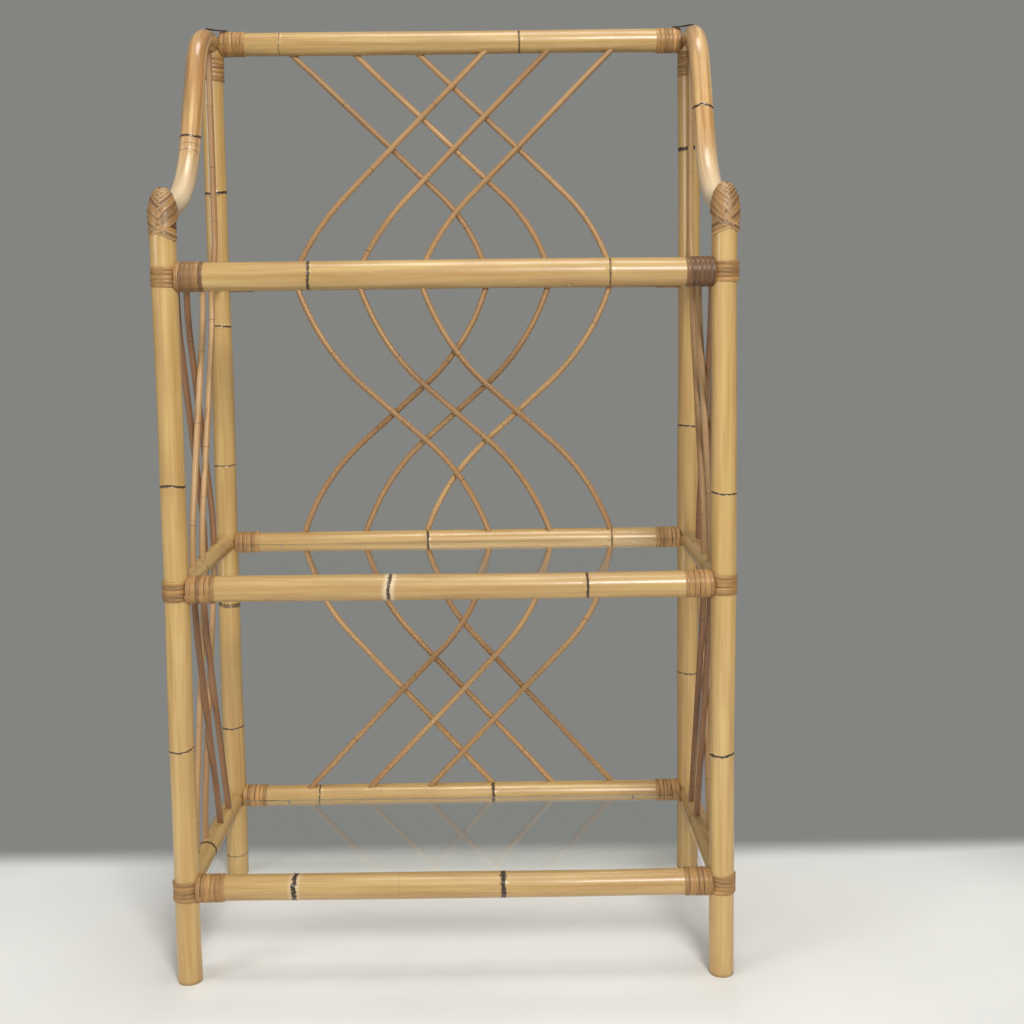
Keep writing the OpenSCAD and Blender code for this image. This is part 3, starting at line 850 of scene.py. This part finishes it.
def build_glass():
    """Sheets with ground edges: the faces are clear and the edges show the glass's green.

    They cast no shadow, so light reaches the tiers below them.
    """
    for tier in TIERS:
        node = tier + "_glass"
        low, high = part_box(node)
        sheet = bmesh.new()
        centre = Matrix.Translation((Vector(low) + Vector(high)) / 2)
        scale = Matrix.Diagonal((*(Vector(high) - Vector(low)), 1))
        bmesh.ops.create_cube(sheet, size=1, matrix=centre @ scale)
        bmesh.ops.bevel(sheet, geom=sheet.edges, offset=0.6 * MM, segments=2, affect="EDGES")
        mesh = bpy.data.meshes.new(node)
        sheet.to_mesh(mesh)
        sheet.free()
        piece = bpy.data.objects.new("sheet_" + node, mesh)
        bpy.context.scene.collection.objects.link(piece)
        mesh.materials.append(MATERIALS["glass"])
        mesh.materials.append(MATERIALS["glass_edge"])
        for face in mesh.polygons:
            face.material_index = 0 if abs(face.normal.z) > 0.9 else 1
        piece.visible_shadow = False
        piece.visible_diffuse = False
        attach(piece, node)
        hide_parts(node)


# ---- Fixings kept from the CAD model ----

def finish_steel():
    for node in ("glass_pins", "joint_nails"):
        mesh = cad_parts[node].data
        mesh.materials.clear()
        mesh.materials.append(MATERIALS["steel"])


# ---- Floor, light and camera ----

FLOOR_PLACE = (0, -0.8, 0)
FLOOR_HALF = 1.7
# Where the floor's fade starts and ends, from its middle: all round, and towards the back
FLOOR_FADE_ROUND = (1.1, 1.6)
FLOOR_FADE_BACK = (0.96, 1.04)


def floor_material():
    """Pale and slightly mottled, and fading into the background behind the rack and far off."""
    material, tree, shader = new_material("floor")
    where = add(tree, "TexCoord").outputs["Object"]
    soft = noise(tree, where, 3, 1, 4.0)
    tree.links.new(mix(tree, soft, (0.84, 0.835, 0.81), (0.79, 0.785, 0.765)), shader.inputs["Base Color"])
    shader.inputs["Roughness"].default_value = 0.6
    reach = add(tree, "VectorMath", {0: where}, operation="LENGTH").outputs["Value"]
    depth = add(tree, "SeparateXYZ", {0: where}).outputs["Y"]
    edges = []
    for value, (start, end) in ((reach, FLOOR_FADE_ROUND), (depth, FLOOR_FADE_BACK)):
        edge = add(tree, "MapRange", {"Value": value, "From Min": start, "From Max": end})
        edge.interpolation_type = "SMOOTHSTEP"
        edges.append(edge.outputs[0])
    far = add(tree, "Math", {0: edges[0], 1: edges[1]}, operation="MAXIMUM")
    clear = add(tree, "BsdfTransparent")
    both = add(tree, "MixShader", {"Fac": far.outputs[0], 1: shader.outputs[0], 2: clear.outputs[0]})
    output = next(node for node in tree.nodes if node.type == "OUTPUT_MATERIAL")
    tree.links.new(both.outputs[0], output.inputs[0])
    return material


def build_floor():
    floor = bmesh.new()
    bmesh.ops.create_grid(floor, x_segments=4, y_segments=4, size=FLOOR_HALF)
    mesh = bpy.data.meshes.new("floor")
    floor.to_mesh(mesh)
    floor.free()
    mesh.materials.append(floor_material())
    ground = bpy.data.objects.new("floor", mesh)
    ground.location = FLOOR_PLACE
    bpy.context.scene.collection.objects.link(ground)


def area_light(name, place, target, size_m, watts, colour, mirrored=True):
    """A round soft light. One that is not mirrored leaves no bright disc in the glass."""
    lamp = bpy.data.lights.new(name, "AREA")
    lamp.shape = "DISK"
    lamp.size = size_m
    lamp.energy = watts
    lamp.color = colour
    holder = bpy.data.objects.new(name, lamp)
    holder.location = place
    aim = Vector(target) - Vector(place)
    holder.rotation_euler = aim.to_track_quat("-Z", "Y").to_euler()
    holder.visible_glossy = mirrored
    bpy.context.scene.collection.objects.link(holder)


BACKGROUND = (0.232, 0.234, 0.222)


def build_light():
    area_light("key", (0.8, -2.8, 2.3), (0, 0, 0.6), 1.1, 84, (1.0, 0.985, 0.95))
    area_light("fill", (-2.3, -1.7, 1.4), (0, 0, 0.6), 1.2, 20, (0.94, 0.97, 1.0))
    area_light("overhead", (0.1, -0.3, 3.3), (0, 0, 0.6), 1.2, 28, (1.0, 0.99, 0.97))
    area_light("rim", (0.3, 2.0, 3.3), (0, 0, 0.7), 1.2, 20, (0.97, 0.98, 1.0), mirrored=False)
    world = bpy.data.worlds.new("studio")
    world.use_nodes = True
    background = world.node_tree.nodes["Background"]
    background.inputs["Color"].default_value = (*BACKGROUND, 1)
    background.inputs["Strength"].default_value = 1.0
    bpy.context.scene.world = world


# The camera: where it stands, how it is turned, and its lens
CAMERA_PLACE = (0.0632, -1.6282, 0.8264)
CAMERA_TURN = (0.4755, 5.4929, -0.6191)
FILM_WIDTH = 36
FOCAL_LENGTH = 44.68
SHIFT_Y = -0.0904


def build_camera():
    yaw, pitch, roll = (math.radians(angle) for angle in CAMERA_TURN)
    ahead = Vector((math.sin(yaw) * math.cos(pitch), math.cos(yaw) * math.cos(pitch), -math.sin(pitch)))
    level = Vector((math.cos(yaw), -math.sin(yaw), 0))
    above = level.cross(ahead)
    right = math.cos(roll) * level + math.sin(roll) * above
    top = math.cos(roll) * above - math.sin(roll) * level
    lens = bpy.data.cameras.new("camera")
    lens.sensor_width = FILM_WIDTH
    lens.lens = FOCAL_LENGTH
    lens.shift_y = SHIFT_Y
    camera = bpy.data.objects.new("camera", lens)
    turn = Matrix((right, top, -ahead)).transposed()
    camera.matrix_world = Matrix.Translation(CAMERA_PLACE) @ turn.to_4x4()
    bpy.context.scene.collection.objects.link(camera)
    bpy.context.scene.camera = camera


build_posts()
build_cross_rails()
build_side_rails()
build_arms()
build_back_rods()
build_side_rods()
build_top_side_rods()
build_joint_bindings()
build_caps()
build_lashings()
build_glass()
finish_steel()
build_floor()
build_light()
build_camera()
bpy.context.scene.view_settings.view_transform = "Standard"
